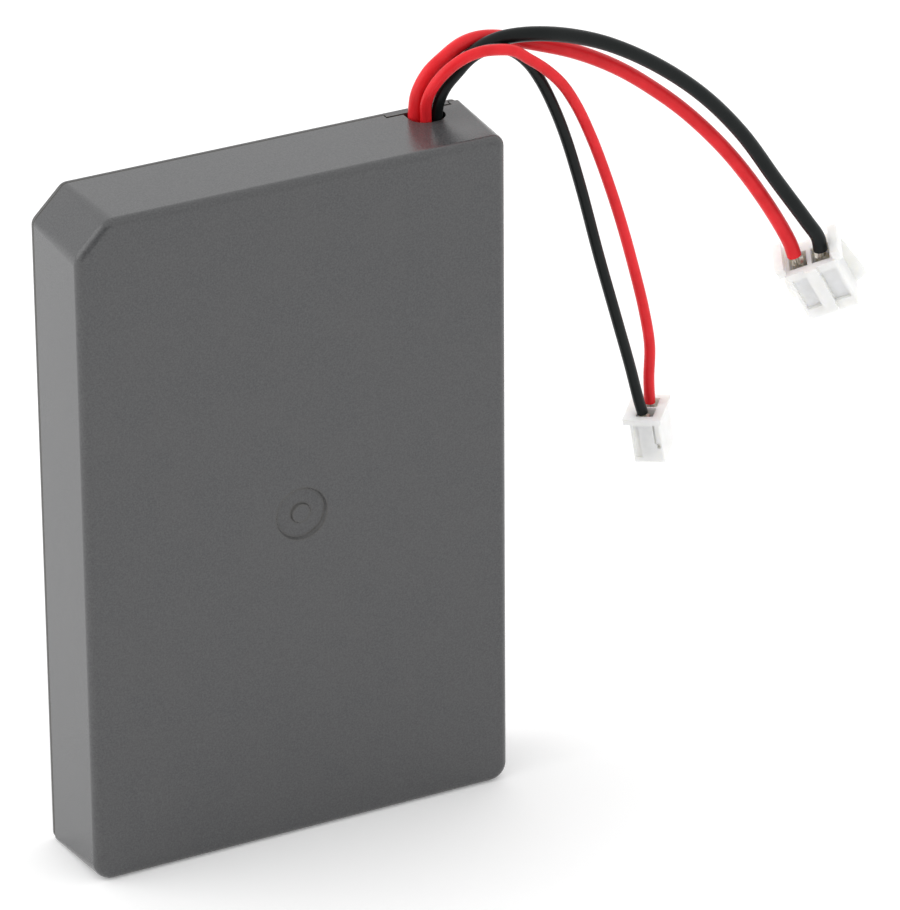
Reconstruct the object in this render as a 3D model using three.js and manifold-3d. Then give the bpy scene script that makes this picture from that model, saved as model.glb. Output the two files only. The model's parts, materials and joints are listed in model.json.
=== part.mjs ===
// Rechargeable battery pack of a hand-held game controller: a welded two-piece plastic case
// with a pouch cell and a protection board inside, and two short two-wire leads, each ending
// in a small crimp connector.
//
// Millimetres, +Z up. The pack stands on its short bottom edge: X is its width, Z its height
// and Y its depth. The large blank front face looks towards -Y and the rear cover towards +Y.
// The origin is at the bottom centre of the case.

import * as THREE from 'three';
import { mergeVertices } from 'three/addons/utils/BufferGeometryUtils.js';
import Module from 'manifold-3d';

const wasm = await Module();
wasm.setup();

// ---------------------------------------------------------------- driving dimensions

const CASE = {
  width: 38.0,
  height: 58.9,
  depth: 8.8,
  wall: 1.2,
  cornerCut: 2.75, // the 45 degree cut of the top left corner
  frontFillet: 0.75,
  filletSteps: 6,
  // Corner radii of the outline, anticlockwise from the bottom left: where the front fillet
  // begins, at the seam, where they are crisper, and on the cover.
  frontCorners: [1.6, 1.5, 0.95, 2.0, 2.0],
  rearCorners: [0.4, 0.4, 0.25, 0.8, 0.8],
  coverCorners: [0.7, 0.7, 0.7, 1.0, 1.0],
  cornerSteps: 6,
};
const COVER = {
  lip: 0.45, // the edge of the cover that shows behind the seam
  step: 0.65, // the raised step that drops into the shell
  seamGap: 0.05,
  stepGap: 0.15,
  bevel: 0.14,
};
const OUTLET = {
  left: 13.6,
  right: 16.75,
  cornerRadius: 1.4,
  depth: 2.5, // from the cover's tongue towards the front
  tongueLeft: 12.1,
  tongueRight: 18.0,
  tongueDepth: 0.65, // how far the tongue reaches in front of the seam
  tongueHeight: 2.4,
  gap: 0.1,
};
const GATE = { x: 0.15, z: 29.4, radius: 2.3, depth: 0.3, dotRadius: 0.8, dotHeight: 0.2 };
const CELL = {
  width: 34.0,
  thickness: 5.8,
  bottom: 1.6,
  top: 46.6,
  edgeRadius: 1.6,
  terraceTop: 50.0,
  terraceWidth: 31.0,
  terraceThickness: 0.24,
  seamWidth: 0.25,
};
const TAB = { width: 4.0, thickness: 0.12, positiveX: -9.5, negativeX: 4.5, top: 54.4 };
const BOARD = { left: -12.0, right: 17.5, bottom: 51.0, top: 56.4, thickness: 0.8 };
const WIRE_A = { diameter: 1.25 };
const WIRE_B = { diameter: 0.95 };
const WIRE_SIDES = 8;
const WIRE_STEPS = 52;

// Derived planes.
const FRONT = -CASE.depth / 2;
const REAR = CASE.depth / 2;
const SEAM = REAR - COVER.lip;
const SIDE = CASE.width / 2;
const INNER_FRONT = FRONT + CASE.wall;
const INNER_REAR = SEAM - COVER.step;
const BOARD_FRONT = -BOARD.thickness / 2;
const BOARD_REAR = BOARD.thickness / 2;

// Centrelines of the four wires, from the solder joint on the board, up through the outlet in
// the top wall, over in an arch and down to the connector. The large lead is a, the small is b.
const ROUTES = {
  red_wire_a: [
    [12.6, 1.1, 53.3], [12.6, 1.3, 54.4], [13.1, 1.95, 55.6], [13.95, 2.45, 56.8],
    [14.35, 2.6, 57.8], [14.35, 2.6, 59.2], [14.6, 2.6, 60.8], [15.6, 2.7, 62.3], [17.2, 2.95, 63.3],
    [19.0, 3.45, 63.9], [20.7, 3.75, 64.0], [22.5, 3.8, 63.7], [25.2, 3.6, 62.8], [29.4, 3.3, 61.2],
    [33.3, 3.15, 59.0], [36.6, 3.0, 56.5], [39.7, 2.8, 53.7], [43.4, 2.45, 49.5], [46.6, 2.05, 44.8],
    [48.9, 1.75, 40.6], [49.4, 1.7, 39.2],
  ],
  black_wire_a: [
    [16.8, 1.1, 53.3], [16.8, 1.2, 54.4], [16.65, 1.75, 55.6], [16.3, 2.3, 56.7], [16.05, 2.65, 57.7],
    [16.08, 2.65, 59.2], [16.5, 2.5, 60.4], [17.25, 2.4, 61.5], [18.5, 2.3, 62.7], [20.0, 2.35, 63.7],
    [21.7, 2.35, 64.2], [23.6, 2.15, 64.3], [26.0, 1.9, 64.0], [29.0, 1.9, 63.1], [32.0, 1.8, 61.8],
    [36.2, 1.65, 59.2], [40.3, 1.4, 55.8], [43.9, 1.2, 51.7], [47.0, 0.9, 47.0], [49.85, 0.5, 42.7],
    [50.95, 0.5, 41.0], [51.25, 0.55, 39.8],
  ],
  red_wire_b: [
    [14.0, 1.0, 53.3], [14.0, 1.0, 54.8], [14.3, 1.2, 56.4], [14.72, 1.5, 57.7], [14.72, 1.5, 59.1],
    [14.65, 1.25, 60.5], [15.15, 0.95, 61.9], [16.2, 0.6, 63.2], [17.6, 0.35, 64.1], [19.1, 0.3, 64.4],
    [20.5, 0.3, 64.3], [22.1, 0.3, 63.9], [23.5, 0.35, 62.9], [25.0, 0.35, 61.7], [26.6, 0.4, 60.0],
    [28.1, 0.6, 57.6], [29.5, 0.8, 54.6], [30.8, 1.0, 51.3], [32.5, 1.3, 46.4], [34.0, 1.6, 41.4],
    [35.1, 1.8, 37.2], [35.7, 1.9, 33.8], [35.7, 2.0, 30.8], [35.8, 2.0, 28.5],
  ],
  black_wire_b: [
    [15.4, 1.0, 53.3], [15.4, 1.0, 54.8], [15.6, 1.25, 56.4], [15.73, 1.52, 57.7], [15.73, 1.52, 59.1],
    [15.85, 1.3, 60.4], [16.4, 1.15, 61.6], [17.5, 1.1, 62.7], [18.5, 1.15, 63.5], [19.6, 1.2, 63.95],
    [21.0, 1.25, 63.95], [22.5, 1.35, 63.4], [24.0, 1.35, 62.0], [25.1, 1.35, 60.3], [26.1, 1.3, 58.2],
    [27.3, 1.3, 55.1], [28.7, 1.2, 50.3], [30.4, 1.1, 43.6], [32.0, 1.0, 37.7], [33.3, 1.0, 33.0],
    [34.15, 0.9, 29.5], [34.5, 0.85, 28.3],
  ],
};

// Where each connector hangs. Its own x runs across its contacts, its y is the thickness and
// its z points from the wire end to the mating end.
const CONNECTOR_A = {
  origin: [50.1, 1.1, 39.7],
  across: [0.77, -0.51, 0.38],
  mating: [0.505, 0.128, -0.854],
  pitch: 2.0,
};
const CONNECTOR_B = {
  origin: [35.3, 1.4, 28.4],
  across: [0.66, 0.74, 0.14],
  mating: [0.17, 0.03, -0.985],
  pitch: 1.5,
};

// ---------------------------------------------------------------- materials

function plastic(color, roughness) {
  return new THREE.MeshStandardMaterial({ color, roughness, metalness: 0 });
}

function metal(color, roughness) {
  return new THREE.MeshStandardMaterial({ color, roughness, metalness: 1 });
}

const casePlastic = () => plastic(0x65656a, 0.3);
const redInsulation = () => plastic(0xd8262d, 0.4);
const blackInsulation = () => plastic(0x1d2122, 0.4);
const nylon = () => plastic(0xf0f0ea, 0.45);
const tinnedBronze = () => metal(0xb9b4aa, 0.3);
const nickel = () => metal(0xc3c2bc, 0.3);
const solder = () => metal(0xaeb0b3, 0.35);
const laminate = () => metal(0xb4b7ba, 0.35);
const solderMask = () => plastic(0x1f5a34, 0.4);
const mouldedPackage = () => plastic(0x1b1b1d, 0.5);
const amberTape = () => plastic(0xb0742a, 0.35);
const foam = () => plastic(0x2c2c2e, 0.9);
const adhesiveTape = () => plastic(0xe6e2d6, 0.7);

// ---------------------------------------------------------------- solids

// A closed mesh as a manifold solid.
function solid(geometry) {
  const bare = geometry.clone();
  bare.deleteAttribute('normal');
  bare.deleteAttribute('uv');
  const merged = mergeVertices(bare, 1e-5);
  return new wasm.Manifold(new wasm.Mesh({
    numProp: 3,
    vertProperties: new Float32Array(merged.attributes.position.array),
    triVerts: new Uint32Array(merged.index.array),
  }));
}

function geometryOf(manifold) {
  const mesh = manifold.getMesh();
  const geometry = new THREE.BufferGeometry();
  geometry.setAttribute('position', new THREE.BufferAttribute(mesh.vertProperties, 3));
  geometry.setIndex(new THREE.BufferAttribute(mesh.triVerts, 1));
  geometry.computeVertexNormals();
  return geometry;
}

function join(pieces) {
  return pieces.reduce((whole, piece) => whole.add(piece));
}

function cut(body, tools) {
  return tools.reduce((rest, tool) => rest.subtract(tool), body);
}

// An axis-aligned block between two corners.
function block([x0, y0, z0], [x1, y1, z1]) {
  const geometry = new THREE.BoxGeometry(x1 - x0, y1 - y0, z1 - z0);
  return geometry.translate((x0 + x1) / 2, (y0 + y1) / 2, (z0 + z1) / 2);
}

// An outline drawn in X and Z, extruded along Y.
function plate(shape, y0, y1, options = {}) {
  const bevel = options.bevelThickness ?? 0;
  const geometry = new THREE.ExtrudeGeometry(shape, {
    depth: y1 - y0 - 2 * bevel,
    bevelEnabled: bevel > 0,
    curveSegments: 6,
    ...options,
  });
  return geometry.rotateX(Math.PI / 2).translate(0, y1 - bevel, 0);
}

// An outline drawn in X and Y, extruded along Z.
function column(shape, z0, z1, options = {}) {
  const bevel = options.bevelThickness ?? 0;
  const geometry = new THREE.ExtrudeGeometry(shape, {
    depth: z1 - z0 - 2 * bevel,
    bevelEnabled: bevel > 0,
    curveSegments: 6,
    ...options,
  });
  return geometry.translate(0, 0, z0 + bevel);
}

function roundedRectangle(x0, x1, y0, y1, radius) {
  const shape = new THREE.Shape();
  shape.moveTo(x0 + radius, y0);
  shape.absarc(x1 - radius, y0 + radius, radius, -Math.PI / 2, 0, false);
  shape.absarc(x1 - radius, y1 - radius, radius, 0, Math.PI / 2, false);
  shape.absarc(x0 + radius, y1 - radius, radius, Math.PI / 2, Math.PI, false);
  shape.absarc(x0 + radius, y0 + radius, radius, Math.PI, Math.PI * 1.5, false);
  shape.closePath();
  return shape;
}

// ---------------------------------------------------------------- case

// A polygon given anticlockwise, with every corner rounded to its own radius by the same
// number of steps.
function roundedPolygon(corners, radii) {
  const points = [];
  corners.forEach((corner, i) => {
    const radius = radii[i];
    const before = corners.at(i - 1).clone().sub(corner).normalize();
    const after = corners[(i + 1) % corners.length].clone().sub(corner).normalize();
    const half = Math.acos(before.dot(after)) / 2;
    const inward = before.clone().add(after).normalize();
    const centre = corner.clone().addScaledVector(inward, radius / Math.sin(half));
    const start = before.clone().multiplyScalar(radius / Math.tan(half)).add(corner).sub(centre);
    for (let k = 0; k <= CASE.cornerSteps; k += 1) {
      const turn = (Math.PI - 2 * half) * (k / CASE.cornerSteps);
      points.push(start.clone().rotateAround(new THREE.Vector2(), turn).add(centre));
    }
  });
  return points;
}

// The outline of the case seen from the front, moved inwards by inset.
function caseOutline(inset, radii) {
  const left = -SIDE + inset;
  const right = SIDE - inset;
  const bottom = inset;
  const top = CASE.height - inset;
  const cornerCut = CASE.cornerCut - inset * (2 - Math.SQRT2);
  const corners = [
    new THREE.Vector2(left, bottom),
    new THREE.Vector2(right, bottom),
    new THREE.Vector2(right, top),
    new THREE.Vector2(left + cornerCut, top),
    new THREE.Vector2(left, top - cornerCut),
  ];
  return roundedPolygon(corners, radii);
}

function caseShape(inset, radii) {
  return new THREE.Shape(caseOutline(inset, radii));
}

// A closed solid through outlines with equal numbers of points, each at its own depth, in
// order from front to back.
function loft(rings) {
  const count = rings[0].outline.length;
  const positions = rings.flatMap(({ outline, y }) => outline.flatMap((p) => [p.x, y, p.y]));
  const index = [];
  for (let i = 0; i < rings.length - 1; i += 1) {
    for (let j = 0; j < count; j += 1) {
      const next = (j + 1) % count;
      const [a, b] = [i * count + j, i * count + next];
      index.push(a, b + count, b, a, a + count, b + count);
    }
  }
  const last = (rings.length - 1) * count;
  THREE.ShapeUtils.triangulateShape(rings[0].outline, []).forEach(([p, q, r]) => {
    index.push(p, q, r);
  });
  THREE.ShapeUtils.triangulateShape(rings.at(-1).outline, []).forEach(([p, q, r]) => {
    index.push(last + p, last + r, last + q);
  });
  const geometry = new THREE.BufferGeometry();
  geometry.setAttribute('position', new THREE.Float32BufferAttribute(positions, 3));
  geometry.setIndex(index);
  return geometry;
}

// The outside of the shell: a fillet round the front face, then walls whose corners sharpen
// towards the seam.
function shellBody() {
  const { frontFillet, filletSteps, frontCorners, rearCorners } = CASE;
  const rings = [];
  for (let k = 0; k <= filletSteps; k += 1) {
    const angle = (k / filletSteps) * (Math.PI / 2);
    const inset = frontFillet * (1 - Math.sin(angle));
    rings.push({
      outline: caseOutline(inset, frontCorners.map((radius) => radius - inset)),
      y: FRONT + frontFillet * (1 - Math.cos(angle)),
    });
  }
  rings.push({ outline: caseOutline(0, rearCorners), y: SEAM - COVER.seamGap });
  return loft(rings);
}

// The mark left by the moulding gate: a shallow round recess with a low dot in it.
function gateMark() {
  const { x, z, radius, depth, dotRadius, dotHeight } = GATE;
  const profile = [
    new THREE.Vector2(0, -1),
    new THREE.Vector2(radius + 0.05, -1),
    new THREE.Vector2(radius, 0),
    new THREE.Vector2(radius - 0.15, depth),
    new THREE.Vector2(dotRadius + 0.1, depth),
    new THREE.Vector2(dotRadius, depth - dotHeight),
    new THREE.Vector2(0, depth - dotHeight),
  ];
  return new THREE.LatheGeometry(profile, 40).translate(x, FRONT, z);
}

// The notch for the wires in the shell's top wall, and the slot beside it for the tongue.
function outletCuts() {
  const y1 = SEAM - OUTLET.tongueDepth + OUTLET.gap;
  const y0 = y1 - OUTLET.depth;
  const z0 = CASE.height - OUTLET.tongueHeight - OUTLET.gap;
  const z1 = CASE.height + 1;
  const notch = roundedRectangle(OUTLET.left, OUTLET.right, y0, y1 + 3, OUTLET.cornerRadius);
  return [
    solid(column(notch, z0, z1)),
    solid(block([OUTLET.tongueLeft, y1 - OUTLET.gap, z0], [OUTLET.tongueRight, REAR + 1, z1])),
  ];
}

// The deep tray: front face and four walls, open at the back.
function frontShell() {
  const outer = solid(shellBody());
  const cavity = solid(plate(caseShape(CASE.wall, CASE.rearCorners), INNER_FRONT, REAR + 1));
  const tray = cut(outer, [cavity, solid(gateMark()), ...outletCuts()]);
  const ribs = [-11, 11].map((x) => solid(block(
    [x - 3, INNER_FRONT - 0.2, CELL.top + 0.6],
    [x + 3, -0.5, CELL.top + 1.4],
  )));
  return geometryOf(join([tray, ...ribs]));
}

// The thin cover welded on at the back, with its locating step and the tongue that closes
// the outlet.
function rearCover() {
  const bevel = COVER.bevel;
  const lip = plate(caseShape(0, CASE.coverCorners), SEAM, REAR, {
    bevelThickness: bevel,
    bevelSize: bevel,
    bevelOffset: -bevel,
    bevelSegments: 2,
  });
  const stepShape = caseShape(CASE.wall + COVER.stepGap, CASE.rearCorners);
  const step = plate(stepShape, INNER_REAR, SEAM + bevel);
  const tongue = block(
    [
      OUTLET.tongueLeft + OUTLET.gap,
      SEAM - OUTLET.tongueDepth + 2 * OUTLET.gap,
      CASE.height - OUTLET.tongueHeight,
    ],
    [OUTLET.tongueRight - OUTLET.gap, SEAM + 2 * bevel, CASE.height],
  );
  return geometryOf(join([solid(lip), solid(step), solid(tongue)]));
}

// ---------------------------------------------------------------- cell

function cellPouch() {
  const half = CELL.width / 2;
  const thin = CELL.thickness / 2;
  const body = column(roundedRectangle(-half, half, -thin, thin, CELL.edgeRadius),
    CELL.bottom, CELL.top, {
      bevelThickness: 0.6,
      bevelSize: 0.6,
      bevelOffset: -0.6,
      bevelSegments: 3,
    });
  const terrace = block(
    [-CELL.terraceWidth / 2, -CELL.terraceThickness / 2, CELL.top - 1],
    [CELL.terraceWidth / 2, CELL.terraceThickness / 2, CELL.terraceTop],
  );
  const foldedSeams = [-1, 1].map((sign) => solid(block(
    [Math.min(sign * (half - 0.2), sign * (half + CELL.seamWidth)), -2.0, CELL.bottom + 1.2],
    [Math.max(sign * (half - 0.2), sign * (half + CELL.seamWidth)), 1.2, CELL.top - 1.2],
  )));
  return geometryOf(join([solid(body), solid(terrace), ...foldedSeams]));
}

// A nickel strip that leaves the terrace, steps forward and lies on its weld plate.
function cellTab(x) {
  const t = TAB.thickness / 2;
  const forward = BOARD_FRONT - 0.3;
  const z0 = CELL.terraceTop + 0.05;
  const profile = new THREE.Shape();
  profile.moveTo(-t, z0);
  profile.lineTo(t, z0);
  profile.lineTo(t, z0 + 0.15);
  profile.lineTo(forward + t, z0 + 0.8);
  profile.lineTo(forward + t, TAB.top);
  profile.lineTo(forward - t, TAB.top);
  profile.lineTo(forward - t, z0 + 0.75);
  profile.lineTo(-t, z0 + 0.05);
  profile.closePath();
  const geometry = new THREE.ExtrudeGeometry(profile, { depth: TAB.width, bevelEnabled: false });
  const X = new THREE.Vector3(1, 0, 0);
  const Y = new THREE.Vector3(0, 1, 0);
  const Z = new THREE.Vector3(0, 0, 1);
  geometry.applyMatrix4(new THREE.Matrix4().makeBasis(Y, Z, X));
  return geometry.translate(x - TAB.width / 2, 0, 0);
}

function weldPlate(x) {
  const shape = roundedRectangle(x - 2.3, x + 2.3, BOARD.bottom + 0.5, TAB.top + 0.5, 0.3);
  return plate(shape, BOARD_FRONT - 0.2, BOARD_FRONT - 0.04);
}

function softPad(x0, x1, z0, z1, y0, y1) {
  return plate(roundedRectangle(x0, x1, z0, z1, 0.6), y0, y1);
}

// ---------------------------------------------------------------- protection board

function board() {
  const shape = roundedRectangle(BOARD.left, BOARD.right, BOARD.bottom, BOARD.top, 0.4);
  return plate(shape, BOARD_FRONT, BOARD_REAR);
}

// A moulded package on the front of the board with gull-wing leads left and right or above
// and below.
function chipPackage({ x, z, width, height, thickness, leads, pitch, reach, vertical }) {
  const lift = 0.1;
  const back = BOARD_FRONT - 0.04 - lift;
  const body = solid(plate(
    roundedRectangle(x - width / 2, x + width / 2, z - height / 2, z + height / 2, 0.08),
    back - thickness, back));
  const pieces = [body];
  const leadWidth = pitch * 0.4;
  const middle = back - thickness / 2;
  for (let i = 0; i < leads; i += 1) {
    const along = (i - (leads - 1) / 2) * pitch;
    for (const side of [-1, 1]) {
      const edge = side * ((vertical ? height : width) / 2 - 0.1);
      const tip = side * (reach / 2);
      const shoulder = tip - side * 0.35;
      const span = (from, to, y0, y1) => {
        const low = Math.min(from, to);
        const high = Math.max(from, to);
        return vertical
          ? block([x + along - leadWidth / 2, y0, z + low], [x + along + leadWidth / 2, y1, z + high])
          : block([x + low, y0, z + along - leadWidth / 2], [x + high, y1, z + along + leadWidth / 2]);
      };
      pieces.push(solid(span(edge, shoulder + side * 0.12, middle, middle + 0.15)));
      pieces.push(solid(span(shoulder, shoulder + side * 0.12, middle, BOARD_FRONT - 0.04)));
      pieces.push(solid(span(shoulder, tip, BOARD_FRONT - 0.16, BOARD_FRONT - 0.04)));
    }
  }
  return geometryOf(join(pieces));
}

// A two-terminal ceramic chip whose end caps stand a little proud of its body.
function chipPassive(x, z, length, width, thickness) {
  const back = BOARD_FRONT - 0.04;
  const cap = length * 0.2;
  const pieces = [
    block([x - length / 2 + 0.1, back - thickness + 0.03, z - width / 2 + 0.03],
      [x + length / 2 - 0.1, back - 0.03, z + width / 2 - 0.03]),
    block([x - length / 2, back - thickness, z - width / 2],
      [x - length / 2 + cap, back, z + width / 2]),
    block([x + length / 2 - cap, back - thickness, z - width / 2],
      [x + length / 2, back, z + width / 2]),
  ];
  return geometryOf(join(pieces.map(solid)));
}

// The tinned end of a wire in its solder, on the back of the board.
function solderJoint([x, y, z]) {
  const profile = [
    new THREE.Vector2(0, 0.03),
    new THREE.Vector2(0.64, 0.03),
    new THREE.Vector2(0.6, 0.3),
    new THREE.Vector2(0.46, 0.62),
    new THREE.Vector2(0.25, 0.86),
    new THREE.Vector2(0, 0.95),
  ];
  const blob = new THREE.LatheGeometry(profile, 16);
  blob.scale(1, 1, 1.25).translate(x, BOARD_REAR, z - 1.1);
  const conductor = new THREE.CylinderGeometry(0.26, 0.26, 1.0, 12);
  conductor.rotateX(Math.PI / 2).translate(x, y - 0.2, z - 0.75);
  return geometryOf(join([solid(blob), solid(conductor)]));
}

// ---------------------------------------------------------------- leads and connectors

function wire(points, diameter) {
  const section = new THREE.Shape();
  for (let i = 0; i < WIRE_SIDES; i += 1) {
    const angle = ((i + 0.5) / WIRE_SIDES) * 2 * Math.PI;
    const x = (diameter / 2) * Math.cos(angle);
    const y = (diameter / 2) * Math.sin(angle);
    if (i === 0) {
      section.moveTo(x, y);
    } else {
      section.lineTo(x, y);
    }
  }
  section.closePath();
  const path = new THREE.CatmullRomCurve3(points.map((point) => new THREE.Vector3(...point)));
  return new THREE.ExtrudeGeometry(section, {
    steps: WIRE_STEPS,
    extrudePath: path,
    bevelEnabled: false,
  });
}

// A crimped contact in its connector's frame: the crimp on the wire, then the square socket.
function contact({ crimp, socket, crimpStart, socketStart, end }) {
  const crimpProfile = new THREE.Shape();
  const r = crimp / 2;
  crimpProfile.moveTo(-r, -r * 0.75);
  crimpProfile.lineTo(r, -r * 0.75);
  crimpProfile.lineTo(r, r * 0.35);
  crimpProfile.absarc(r * 0.5, r * 0.35, r * 0.5, 0, Math.PI, false);
  crimpProfile.absarc(-r * 0.5, r * 0.35, r * 0.5, 0, Math.PI, false);
  crimpProfile.closePath();
  const barrel = column(crimpProfile, crimpStart, socketStart + 0.1);
  const half = socket / 2;
  const tube = column(roundedRectangle(-half, half, -half, half, 0.1), socketStart, end);
  const bore = block([-half * 0.55, -half * 0.55, end - 1.6], [half * 0.55, half * 0.55, end + 1]);
  return geometryOf(cut(join([solid(barrel), solid(tube)]), [solid(bore)]));
}

// The larger housing. Two ears stand up at the wire end, a polarising rib runs down each side at
// the back, and the front face has two shallow recesses with a proud rail between them. Each
// contact has a cavity with a pin hole in the mating face.
function housingA() {
  const half = 2.3;
  const ear = 2.9;
  const back = -2.0;
  const front = 1.4;
  const mouth = 0.8; // the wire-end face between the ears
  const collarEnd = 1.0;
  const length = 6.6;
  const ribs = new THREE.Shape();
  ribs.moveTo(-half, mouth);
  ribs.lineTo(half, mouth);
  ribs.lineTo(ear, collarEnd);
  ribs.lineTo(ear + 0.45, 4.6);
  ribs.lineTo(ear + 0.45, 6.0);
  ribs.lineTo(half, 6.4);
  ribs.lineTo(-half, 6.4);
  ribs.lineTo(-ear - 0.45, 6.0);
  ribs.lineTo(-ear - 0.45, 4.6);
  ribs.lineTo(-ear, collarEnd);
  ribs.closePath();
  const body = [
    column(roundedRectangle(-half, half, back, front, 0.2), mouth, length),
    column(roundedRectangle(-ear, ear, back, front - 0.15, 0.2), 0, collarEnd),
    block([-0.55, front - 0.2, mouth], [0.55, front + 0.3, length - 0.4]),
    plate(ribs, back + 0.02, back + 0.9),
  ];
  const cuts = [block([-2.1, back - 1, -1], [2.1, front + 1, mouth])];
  for (const sign of [-1, 1]) {
    const x = (sign * CONNECTOR_A.pitch) / 2;
    const recess = [sign * 0.55, sign * 1.95].sort((p, q) => p - q);
    cuts.push(block([x - 0.8, -0.9, 0], [x + 0.8, 0.85, 1.7]));
    cuts.push(block([x - 0.72, -0.75, 1.6], [x + 0.72, 0.75, length - 0.7]));
    cuts.push(block([x - 0.4, -0.4, length - 1], [x + 0.4, 0.4, length + 1]));
    cuts.push(block([recess[0], front - 0.3, 1.6], [recess[1], front + 1, 5.4]));
  }
  return geometryOf(cut(join(body.map(solid)), cuts.map(solid)));
}

// The smaller housing: a collar round the wire end and, on each narrow side, a groove, a broad
// rail, a slit and a lance window. Each contact has a cavity with a pin hole.
function housingB() {
  const half = 1.8;
  const back = -1.3;
  const front = 1.35;
  const collar = 0.5;
  const length = 4.3;
  const body = [
    column(roundedRectangle(-half, half, back, front, 0.15), 0, length),
    column(roundedRectangle(-half - 0.25, half + 0.25, back - 0.5, front + 0.2, 0.15), 0, collar),
  ];
  const cuts = [];
  for (const sign of [-1, 1]) {
    const x = (sign * CONNECTOR_B.pitch) / 2;
    const side = (y0, y1, z0, z1, depth) => {
      const [low, high] = [sign * (half + 1), sign * (half - depth)].sort((p, q) => p - q);
      return block([low, y0, z0], [high, y1, z1]);
    };
    cuts.push(block([x - 0.68, -0.75, -1], [x + 0.68, 0.75, 1.4]));
    cuts.push(block([x - 0.58, -0.58, 1.3], [x + 0.58, 0.58, length - 0.6]));
    cuts.push(block([x - 0.28, -0.28, length - 1], [x + 0.28, 0.28, length + 1]));
    cuts.push(side(-1.05, -0.55, collar + 0.2, length - 0.45, 0.18));
    cuts.push(side(0.68, 0.84, collar + 0.2, 2.5, 0.22));
    cuts.push(side(0.84, 1.15, 2.45, 2.95, 0.35));
  }
  return geometryOf(cut(join(body.map(solid)), cuts.map(solid)));
}

// ---------------------------------------------------------------- assembly

const pack = new THREE.Group();

function add(parent, name, geometry, material) {
  const mesh = new THREE.Mesh(geometry, material);
  mesh.name = name;
  parent.add(mesh);
  return mesh;
}

// A group turned so that its x, y and z follow the connector's own directions.
function connectorGroup({ origin, across, mating }) {
  const z = new THREE.Vector3(...mating).normalize();
  const y = new THREE.Vector3().crossVectors(z, new THREE.Vector3(...across)).normalize();
  const x = new THREE.Vector3().crossVectors(y, z);
  const group = new THREE.Group();
  group.setRotationFromMatrix(new THREE.Matrix4().makeBasis(x, y, z));
  group.position.set(...origin);
  pack.add(group);
  return group;
}

function addCase() {
  add(pack, 'front_shell', frontShell(), casePlastic());
  add(pack, 'rear_cover', rearCover(), casePlastic());
}

function addCell() {
  const half = CELL.width / 2;
  const thin = CELL.thickness / 2;
  add(pack, 'cell_pouch', cellPouch(), laminate());
  add(pack, 'cell_tab_positive', cellTab(TAB.positiveX), nickel());
  add(pack, 'cell_tab_negative', cellTab(TAB.negativeX), nickel());
  add(pack, 'cell_adhesive_pad', softPad(-half + 3, half - 3, CELL.bottom + 4, CELL.top - 4,
    INNER_FRONT + 0.03, -thin - 0.03), adhesiveTape());
  add(pack, 'rear_foam_pad', softPad(-half + 4, half - 4, CELL.bottom + 8, CELL.top - 8,
    thin + 0.03, INNER_REAR - 0.03), foam());
  add(pack, 'terrace_tape', block(
    [-14.5, -CELL.terraceThickness / 2 - 0.14, CELL.top + 0.2],
    [14.5, -CELL.terraceThickness / 2 - 0.04, CELL.terraceTop - 0.2],
  ), amberTape());
}

function addBoard() {
  add(pack, 'protection_board', board(), solderMask());
  add(pack, 'weld_plate_positive', weldPlate(TAB.positiveX), nickel());
  add(pack, 'weld_plate_negative', weldPlate(TAB.negativeX), nickel());
  add(pack, 'protection_ic', chipPackage({
    x: -4.6, z: 53.7, width: 2.9, height: 1.6, thickness: 1.0,
    leads: 3, pitch: 0.95, reach: 2.8, vertical: true,
  }), mouldedPackage());
  add(pack, 'mosfet_pair', chipPackage({
    x: 10.9, z: 53.7, width: 4.4, height: 3.0, thickness: 0.95,
    leads: 4, pitch: 0.65, reach: 6.4, vertical: false,
  }), mouldedPackage());
  add(pack, 'filter_capacitor', chipPassive(-1.1, 54.6, 1.6, 0.8, 0.7), adhesiveTape());
  add(pack, 'filter_resistor', chipPassive(-1.1, 52.8, 1.6, 0.8, 0.45), mouldedPackage());
  add(pack, 'sense_resistor', chipPassive(15.9, 53.7, 1.6, 0.8, 0.45), mouldedPackage());
  add(pack, 'board_foam_pad', softPad(-11.5, 6.8, BOARD.bottom + 0.4, BOARD.top - 0.2,
    INNER_FRONT + 0.03, INNER_FRONT + 1.0), foam());
}

function addLeads() {
  for (const [name, points] of Object.entries(ROUTES)) {
    const diameter = name.endsWith('_a') ? WIRE_A.diameter : WIRE_B.diameter;
    const insulation = name.startsWith('red') ? redInsulation() : blackInsulation();
    add(pack, name, wire(points, diameter), insulation);
    add(pack, name.replace('wire', 'solder_joint'), solderJoint(points[0]), solder());
  }
}

function addConnectors() {
  const a = connectorGroup(CONNECTOR_A);
  const b = connectorGroup(CONNECTOR_B);
  add(a, 'connector_housing_a', housingA(), nylon());
  add(b, 'connector_housing_b', housingB(), nylon());
  const contactA = { crimp: 1.0, socket: 0.85, crimpStart: 0.85, socketStart: 2.4, end: 5.7 };
  const contactB = { crimp: 0.7, socket: 0.56, crimpStart: 0.35, socketStart: 1.3, end: 3.4 };
  for (const [color, sign] of [['red', -1], ['black', 1]]) {
    const inA = add(a, `${color}_contact_a`, contact(contactA), tinnedBronze());
    inA.position.x = (sign * CONNECTOR_A.pitch) / 2;
    const inB = add(b, `${color}_contact_b`, contact(contactB), tinnedBronze());
    inB.position.x = (-sign * CONNECTOR_B.pitch) / 2;
  }
}

addCase();
addCell();
addBoard();
addLeads();
addConnectors();

export default pack;
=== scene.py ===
import json
import math

import bmesh
import bpy
from mathutils import Matrix, Vector


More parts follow.
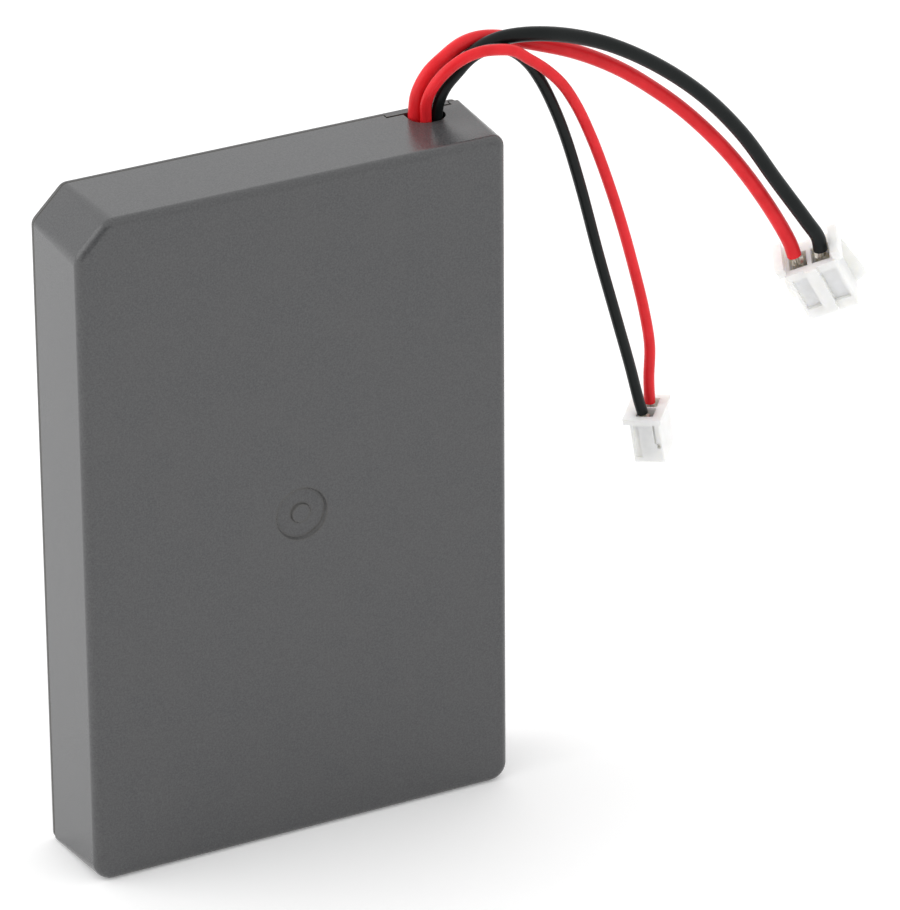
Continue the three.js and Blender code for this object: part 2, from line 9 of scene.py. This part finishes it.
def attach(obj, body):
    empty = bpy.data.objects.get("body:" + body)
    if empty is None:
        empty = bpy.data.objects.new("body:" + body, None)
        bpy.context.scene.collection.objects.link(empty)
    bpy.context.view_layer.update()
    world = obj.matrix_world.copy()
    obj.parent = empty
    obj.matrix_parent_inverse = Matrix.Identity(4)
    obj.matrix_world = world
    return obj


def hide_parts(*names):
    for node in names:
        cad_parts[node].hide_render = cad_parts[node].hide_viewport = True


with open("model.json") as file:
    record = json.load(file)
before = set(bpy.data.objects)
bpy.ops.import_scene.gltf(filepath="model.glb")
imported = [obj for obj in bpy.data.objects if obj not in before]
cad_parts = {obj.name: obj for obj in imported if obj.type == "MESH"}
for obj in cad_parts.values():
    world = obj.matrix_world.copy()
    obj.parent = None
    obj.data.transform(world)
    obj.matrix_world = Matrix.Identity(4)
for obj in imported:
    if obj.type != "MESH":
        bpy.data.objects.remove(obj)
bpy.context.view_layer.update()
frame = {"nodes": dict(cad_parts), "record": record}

MM = 0.001
CAMERA_PLACE = Vector((-0.22363, -0.46603, 0.28986))
CAMERA_AIM = Vector((0.01447, -0.00283, 0.03068))
CAMERA_ROLL = math.radians(-0.4)
LENS_MM = 281.1
SENSOR_MM = 36.0
NODES = frame["nodes"]
WIRE_DIAMETER = {"a": 1.25 * MM, "b": 0.95 * MM}
STRAND_REACH = {"a": 1.1 * MM, "b": 0.8 * MM}  # bare length past the insulation
STRAND_OVERLAP = 0.3 * MM  # how far the strands start inside the insulation
SOFTENED = ("front_shell", "rear_cover", "connector_housing_a", "connector_housing_b")
EDGE_WIDTH = 0.1 * MM

# The wires' centrelines in millimetres, the same points as the CAD solids follow.
ROUTES = {
    "red_wire_a": [
        (12.6, 1.1, 53.3), (12.6, 1.3, 54.4), (13.1, 1.95, 55.6), (13.95, 2.45, 56.8),
        (14.35, 2.6, 57.8), (14.35, 2.6, 59.2), (14.6, 2.6, 60.8), (15.6, 2.7, 62.3),
        (17.2, 2.95, 63.3), (19.0, 3.45, 63.9), (20.7, 3.75, 64.0), (22.5, 3.8, 63.7),
        (25.2, 3.6, 62.8), (29.4, 3.3, 61.2), (33.3, 3.15, 59.0), (36.6, 3.0, 56.5),
        (39.7, 2.8, 53.7), (43.4, 2.45, 49.5), (46.6, 2.05, 44.8), (48.9, 1.75, 40.6),
        (49.4, 1.7, 39.2),
    ],
    "black_wire_a": [
        (16.8, 1.1, 53.3), (16.8, 1.2, 54.4), (16.65, 1.75, 55.6), (16.3, 2.3, 56.7),
        (16.05, 2.65, 57.7), (16.08, 2.65, 59.2), (16.5, 2.5, 60.4), (17.25, 2.4, 61.5),
        (18.5, 2.3, 62.7), (20.0, 2.35, 63.7), (21.7, 2.35, 64.2), (23.6, 2.15, 64.3),
        (26.0, 1.9, 64.0), (29.0, 1.9, 63.1), (32.0, 1.8, 61.8), (36.2, 1.65, 59.2),
        (40.3, 1.4, 55.8), (43.9, 1.2, 51.7), (47.0, 0.9, 47.0), (49.85, 0.5, 42.7),
        (50.95, 0.5, 41.0), (51.25, 0.55, 39.8),
    ],
    "red_wire_b": [
        (14.0, 1.0, 53.3), (14.0, 1.0, 54.8), (14.3, 1.2, 56.4), (14.72, 1.5, 57.7),
        (14.72, 1.5, 59.1), (14.65, 1.25, 60.5), (15.15, 0.95, 61.9), (16.2, 0.6, 63.2),
        (17.6, 0.35, 64.1), (19.1, 0.3, 64.4), (20.5, 0.3, 64.3), (22.1, 0.3, 63.9),
        (23.5, 0.35, 62.9), (25.0, 0.35, 61.7), (26.6, 0.4, 60.0), (28.1, 0.6, 57.6),
        (29.5, 0.8, 54.6), (30.8, 1.0, 51.3), (32.5, 1.3, 46.4), (34.0, 1.6, 41.4),
        (35.1, 1.8, 37.2), (35.7, 1.9, 33.8), (35.7, 2.0, 30.8), (35.8, 2.0, 28.5),
    ],
    "black_wire_b": [
        (15.4, 1.0, 53.3), (15.4, 1.0, 54.8), (15.6, 1.25, 56.4), (15.73, 1.52, 57.7),
        (15.73, 1.52, 59.1), (15.85, 1.3, 60.4), (16.4, 1.15, 61.6), (17.5, 1.1, 62.7),
        (18.5, 1.15, 63.5), (19.6, 1.2, 63.95), (21.0, 1.25, 63.95), (22.5, 1.35, 63.4),
        (24.0, 1.35, 62.0), (25.1, 1.35, 60.3), (26.1, 1.3, 58.2), (27.3, 1.3, 55.1),
        (28.7, 1.2, 50.3), (30.4, 1.1, 43.6), (32.0, 1.0, 37.7), (33.3, 1.0, 33.0),
        (34.15, 0.9, 29.5), (34.5, 0.85, 28.3),
    ],
}


def link(obj):
    bpy.context.scene.collection.objects.link(obj)
    return obj


# ---------------------------------------------------------------- camera

def make_camera():
    """A long lens from the front left and above, level within half a degree."""
    data = bpy.data.cameras.new("camera")
    data.lens = LENS_MM
    data.sensor_width = SENSOR_MM
    data.clip_start = 0.05
    data.clip_end = 20.0
    camera = link(bpy.data.objects.new("camera", data))
    look = (CAMERA_AIM - CAMERA_PLACE).to_track_quat("-Z", "Y").to_matrix()
    turn = look @ Matrix.Rotation(CAMERA_ROLL, 3, "Z")
    camera.matrix_world = Matrix.Translation(CAMERA_PLACE) @ turn.to_4x4()
    bpy.context.scene.camera = camera


# ---------------------------------------------------------------- cords

def smooth_path(points, steps):
    """Points along the centripetal Catmull-Rom curve through a route."""
    knots = [Vector(p) for p in points]
    padded = [knots[0] * 2 - knots[1], *knots, knots[-1] * 2 - knots[-2]]
    path = []
    for i in range(len(knots) - 1):
        p0, p1, p2, p3 = padded[i:i + 4]
        d0, d1, d2 = ((b - a).length ** 0.5 for a, b in ((p0, p1), (p1, p2), (p2, p3)))
        m1 = ((p1 - p0) / d0 - (p2 - p0) / (d0 + d1) + (p2 - p1) / d1) * d1
        m2 = ((p2 - p1) / d1 - (p3 - p1) / (d1 + d2) + (p3 - p2) / d2) * d1
        for k in range(steps):
            t = k / steps
            path.append(
                p1 * (2 * t**3 - 3 * t**2 + 1) + m1 * (t**3 - 2 * t**2 + t)
                + p2 * (3 * t**2 - 2 * t**3) + m2 * (t**3 - t**2)
            )
    path.append(knots[-1])
    return path


def make_wire(name, points):
    """The insulation of one wire: a mesh tube that a curve with a round section gives."""
    path = smooth_path([Vector(p) * MM for p in points], 8)
    curve = bpy.data.curves.new(name + "_route", "CURVE")
    curve.dimensions = "3D"
    curve.bevel_depth = WIRE_DIAMETER[name[-1]] / 2
    curve.bevel_resolution = 5
    curve.use_fill_caps = True
    spline = curve.splines.new("POLY")
    spline.points.add(len(path) - 1)
    for point, place in zip(spline.points, path):
        point.co = (*place, 1.0)
    spline.use_smooth = True
    route = bpy.data.objects.new(name + "_route", curve)
    mesh = bpy.data.meshes.new_from_object(route)
    mesh.name = name + "_insulation"
    bpy.data.objects.remove(route)
    bpy.data.curves.remove(curve)
    return link(bpy.data.objects.new(name + "_insulation", mesh)), path


def tube(bm, start, end, radius, sides=8):
    """Adds a capped round bar between two points to a bmesh."""
    axis = end - start
    turn = axis.to_track_quat("Z", "Y").to_matrix().to_4x4()
    place = Matrix.Translation((start + end) / 2) @ turn
    bmesh.ops.create_cone(
        bm, cap_ends=True, segments=sides, radius1=radius, radius2=radius,
        depth=axis.length, matrix=place,
    )


def make_strands(name, path, reach):
    """The bare tinned strands that leave the insulation and go into the crimp."""
    end = path[-1]
    along = (end - path[-5]).normalized()
    side = along.orthogonal().normalized()
    first, last = end - along * STRAND_OVERLAP, end + along * reach
    strand = WIRE_DIAMETER[name[-1]] * 0.085
    bm = bmesh.new()
    tube(bm, first, last, strand)
    for k in range(6):
        offset = Matrix.Rotation(k * math.pi / 3, 3, along) @ side * strand * 2.05
        tube(bm, first + offset, last + offset * 0.9, strand)
    mesh = bpy.data.meshes.new(name + "_strands")
    bm.to_mesh(mesh)
    bm.free()
    return link(bpy.data.objects.new(name + "_strands", mesh))


def make_cords():
    for name, points in ROUTES.items():
        colour, lead = name.split("_")[0], name[-1]
        wire, path = make_wire(name, points)
        strands = make_strands(name, path, STRAND_REACH[lead])
        for piece, slot in ((wire, colour + "_insulation"), (strands, "tinned_contact")):
            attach(piece, "root")
        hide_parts(name)


# ---------------------------------------------------------------- materials

class Surface:
    """A small builder for node materials, in object coordinates in millimetres."""

    def __init__(self, name):
        self.material = bpy.data.materials.new(name)
        self.material.use_nodes = True
        self.tree = self.material.node_tree
        self.shader = self.tree.nodes["Principled BSDF"]
        place = self.tree.nodes.new("ShaderNodeTexCoord")
        self.coords = self.tree.nodes.new("ShaderNodeVectorMath")
        self.coords.operation = "SCALE"
        self.coords.inputs["Scale"].default_value = 1 / MM
        self.link(place.outputs["Object"], self.coords.inputs[0])

    def link(self, source, target):
        self.tree.links.new(source, target)

    def set(self, **values):
        for key, value in values.items():
            self.shader.inputs[key.replace("_", " ")].default_value = value

    def noise(self, scale, detail=3.0, roughness=0.5):
        node = self.tree.nodes.new("ShaderNodeTexNoise")
        node.inputs["Scale"].default_value = scale
        node.inputs["Detail"].default_value = detail
        node.inputs["Roughness"].default_value = roughness
        self.link(self.coords.outputs[0], node.inputs["Vector"])
        return node.outputs["Fac"]

    def stretch(self, source, low, high, low_out, high_out):
        node = self.tree.nodes.new("ShaderNodeMapRange")
        for key, value in zip(("From Min", "From Max", "To Min", "To Max"),
                              (low, high, low_out, high_out)):
            node.inputs[key].default_value = value
        self.link(source, node.inputs["Value"])
        return node.outputs["Result"]

    def blend(self, factor, first, second):
        node = self.tree.nodes.new("ShaderNodeMix")
        node.data_type = "RGBA"
        self.link(factor, node.inputs["Factor"])
        for value, socket in ((first, node.inputs["A"]), (second, node.inputs["B"])):
            if hasattr(value, "is_output"):
                self.link(value, socket)
            else:
                socket.default_value = (*value, 1.0)
        return node.outputs["Result"]

    def color(self, source):
        self.link(source, self.shader.inputs["Base Color"])

    def rough(self, source):
        self.link(source, self.shader.inputs["Roughness"])

    def bump(self, *layers):
        """Layers of (height socket, distance in millimetres), added on top of each other."""
        normal = None
        for height, distance in layers:
            node = self.tree.nodes.new("ShaderNodeBump")
            node.inputs["Strength"].default_value = 1.0
            node.inputs["Distance"].default_value = distance * MM
            self.link(height, node.inputs["Height"])
            if normal:
                self.link(normal, node.inputs["Normal"])
            normal = node.outputs["Normal"]
        self.link(normal, self.shader.inputs["Normal"])

    def edges(self, radius):
        """0 on flat ground, rising towards 1 near a sharp edge within the radius."""
        bevel = self.tree.nodes.new("ShaderNodeBevel")
        bevel.samples = 4
        bevel.inputs["Radius"].default_value = radius * MM
        plain = self.tree.nodes.new("ShaderNodeNewGeometry")
        dot = self.tree.nodes.new("ShaderNodeVectorMath")
        dot.operation = "DOT_PRODUCT"
        self.link(bevel.outputs["Normal"], dot.inputs[0])
        self.link(plain.outputs["Normal"], dot.inputs[1])
        return self.stretch(dot.outputs["Value"], 1.0, 0.8, 0.0, 1.0)


def case_plastic():
    """Grey ABS, satin, with a fine eroded grain and slightly polished edges."""
    s = Surface("case_plastic")
    clouds = s.noise(0.35, 2.0)
    grain = s.noise(7.0, 4.0, 0.6)
    speck = s.noise(22.0, 2.0, 0.7)
    tone = s.blend(s.stretch(clouds, 0.35, 0.65, 0.0, 1.0),
                   (0.052, 0.053, 0.056), (0.058, 0.058, 0.060))
    tone = s.blend(s.stretch(grain, 0.35, 0.65, 0.0, 1.0), tone, (0.082, 0.083, 0.085))
    tone = s.blend(s.edges(0.35), tone, (0.070, 0.064, 0.054))
    s.color(tone)
    s.rough(s.stretch(grain, 0.3, 0.7, 0.13, 0.2))
    s.bump((grain, 0.007), (speck, 0.004))
    s.set(IOR=1.5)
    return s.material


def insulation(name, dark, light, roughness):
    """Smooth extruded wire insulation with faint draw marks and a little grime."""
    s = Surface(name)
    clouds = s.noise(0.5, 3.0)
    fine = s.noise(9.0, 3.0)
    s.color(s.blend(s.stretch(clouds, 0.35, 0.65, 0.0, 1.0), dark, light))
    s.rough(s.stretch(fine, 0.3, 0.7, roughness - 0.05, roughness + 0.06))
    s.bump((s.noise(2.2, 2.0), 0.02), (fine, 0.004))
    s.set(IOR=1.28)
    return s.material


def nylon():
    """Natural white nylon, slightly waxy, with light passing a little way in."""
    s = Surface("white_nylon")
    clouds = s.noise(0.8, 2.0)
    fine = s.noise(10.0, 3.0)
    s.color(s.blend(s.stretch(clouds, 0.35, 0.65, 0.0, 1.0),
                    (0.83, 0.83, 0.81), (0.88, 0.88, 0.865)))
    s.rough(s.stretch(fine, 0.3, 0.7, 0.34, 0.44))
    s.bump((fine, 0.004), (s.noise(1.5, 2.0), 0.01))
    s.set(IOR=1.53, Subsurface_Weight=0.6, Subsurface_Scale=0.0012)
    s.shader.inputs["Subsurface Radius"].default_value = (1.0, 0.95, 0.8)
    return s.material


def metal(name, dark, light, low, high, grain=8.0):
    """A thin metal part with fine uneven brightness."""
    s = Surface(name)
    fine = s.noise(grain, 4.0, 0.6)
    s.color(s.blend(s.stretch(s.noise(1.2, 3.0), 0.35, 0.65, 0.0, 1.0), dark, light))
    s.rough(s.stretch(fine, 0.3, 0.7, low, high))
    s.bump((fine, 0.004))
    s.set(Metallic=1.0)
    return s.material


def dull(name, dark, light, low, high, grain, height):
    """A non-metal part: two near tones, uneven gloss and a fine relief."""
    s = Surface(name)
    fine = s.noise(grain, 4.0, 0.6)
    s.color(s.blend(s.stretch(fine, 0.35, 0.65, 0.0, 1.0), dark, light))
    s.rough(s.stretch(s.noise(grain * 0.4, 2.0), 0.3, 0.7, low, high))
    s.bump((fine, height))
    return s.material


def make_materials():
    """One material for each slot, by the slot's name."""
    return {
        "case_plastic": case_plastic(),
        "red_insulation": insulation(
            "red_insulation", (0.70, 0.016, 0.022), (0.80, 0.022, 0.030), 0.32),
        "black_insulation": insulation(
            "black_insulation", (0.003, 0.005, 0.005), (0.005, 0.007, 0.007), 0.34),
        "white_nylon": nylon(),
        "tinned_contact": metal(
            "tinned_contact", (0.50, 0.47, 0.41), (0.62, 0.59, 0.53), 0.25, 0.4),
        "nickel_strip": metal(
            "nickel_strip", (0.58, 0.57, 0.54), (0.68, 0.67, 0.64), 0.28, 0.42),
        "solder": metal(
            "solder", (0.56, 0.57, 0.59), (0.68, 0.69, 0.70), 0.22, 0.4, 5.0),
        "cell_laminate": metal(
            "cell_laminate", (0.50, 0.51, 0.52), (0.58, 0.59, 0.60), 0.34, 0.48, 3.0),
        "circuit_board": dull(
            "circuit_board", (0.012, 0.085, 0.032), (0.018, 0.11, 0.045),
            0.3, 0.42, 4.0, 0.006),
        "moulded_package": dull(
            "moulded_package", (0.010, 0.010, 0.011), (0.018, 0.018, 0.019),
            0.45, 0.6, 14.0, 0.006),
        "ceramic_chip": dull(
            "ceramic_chip", (0.42, 0.34, 0.22), (0.50, 0.41, 0.28), 0.4, 0.55, 12.0, 0.004),
        "amber_tape": dull(
            "amber_tape", (0.40, 0.17, 0.03), (0.50, 0.22, 0.05), 0.2, 0.34, 1.5, 0.006),
        "adhesive_tape": dull(
            "adhesive_tape", (0.68, 0.66, 0.60), (0.76, 0.74, 0.68), 0.6, 0.75, 6.0, 0.01),
        "black_foam": dull(
            "black_foam", (0.018, 0.018, 0.019), (0.032, 0.032, 0.034), 0.8, 0.95, 5.0, 0.05),
    }


def dress(materials):
    """Gives every CAD node and every added piece the material of its slot."""
    slots = {part["node"]: part["material_slot"] for part in frame["record"]["subparts"]}
    for node, obj in NODES.items():
        obj.data.materials.clear()
        obj.data.materials.append(materials[slots[node]])
    for name in ROUTES:
        colour = name.split("_")[0]
        bpy.data.objects[name + "_insulation"].data.materials.append(
            materials[colour + "_insulation"])
        bpy.data.objects[name + "_strands"].data.materials.append(materials["tinned_contact"])


def soften(obj):
    """Rounds the hard edges of a CAD node a little, with modifiers only."""
    weld = obj.modifiers.new("weld", "WELD")
    weld.merge_threshold = 1e-6
    flat = obj.modifiers.new("flat", "DECIMATE")
    flat.decimate_type = "DISSOLVE"
    flat.angle_limit = math.radians(0.5)
    bevel = obj.modifiers.new("bevel", "BEVEL")
    bevel.width = EDGE_WIDTH
    bevel.segments = 3
    bevel.limit_method = "ANGLE"
    bevel.angle_limit = math.radians(32)
    bevel.use_clamp_overlap = True
    even = obj.modifiers.new("even", "WEIGHTED_NORMAL")
    even.weight = 80


# ---------------------------------------------------------------- studio

def make_floor():
    """A large pale floor, slightly mottled."""
    bm = bmesh.new()
    bmesh.ops.create_grid(bm, x_segments=8, y_segments=8, size=1.5)
    mesh = bpy.data.meshes.new("floor")
    bm.to_mesh(mesh)
    bm.free()
    floor = link(bpy.data.objects.new("floor", mesh))
    s = Surface("floor")
    s.color(s.blend(s.noise(0.02, 2.0), (0.88, 0.88, 0.88), (0.90, 0.90, 0.90)))
    s.set(Roughness=0.9, Emission_Strength=0.15)
    floor.data.materials.append(s.material)


def make_light(name, place, size, power):
    """A round soft light that faces the pack."""
    data = bpy.data.lights.new(name, "AREA")
    data.shape = "DISK"
    data.size = size
    data.energy = power
    light = link(bpy.data.objects.new(name, data))
    light.location = place
    aim = Vector((0.01, 0, 0.03)) - light.location
    light.rotation_euler = aim.to_track_quat("-Z", "Y").to_euler()


def make_world(strength, behind_camera):
    """White light from all round, dimmer towards the camera: it starts to fade 35 degrees
    from the camera's direction and is at its dimmest within 14 degrees of it."""
    world = bpy.data.worlds.new("studio")
    bpy.context.scene.world = world
    world.use_nodes = True
    tree = world.node_tree
    background = tree.nodes["Background"]
    background.inputs["Color"].default_value = (1, 1, 1, 1)
    place = tree.nodes.new("ShaderNodeTexCoord")
    dot = tree.nodes.new("ShaderNodeVectorMath")
    dot.operation = "DOT_PRODUCT"
    dot.inputs[1].default_value = (CAMERA_PLACE - CAMERA_AIM).normalized()
    dim = tree.nodes.new("ShaderNodeMapRange")
    dim.interpolation_type = "SMOOTHSTEP"
    for key, value in zip(("From Min", "From Max", "To Min", "To Max"),
                          (0.82, 0.97, strength, behind_camera)):
        dim.inputs[key].default_value = value
    tree.links.new(place.outputs["Generated"], dot.inputs[0])
    tree.links.new(dot.outputs["Value"], dim.inputs["Value"])
    tree.links.new(dim.outputs["Result"], background.inputs["Strength"])


def make_studio():
    make_world(1.14, 0.3)
    make_light("key", (-1.3, 0.5, 0.9), 1.6, 9.0)
    bpy.context.scene.view_settings.view_transform = "Standard"
    make_floor()


make_camera()
make_cords()
dress(make_materials())
for node in SOFTENED:
    soften(NODES[node])
make_studio()
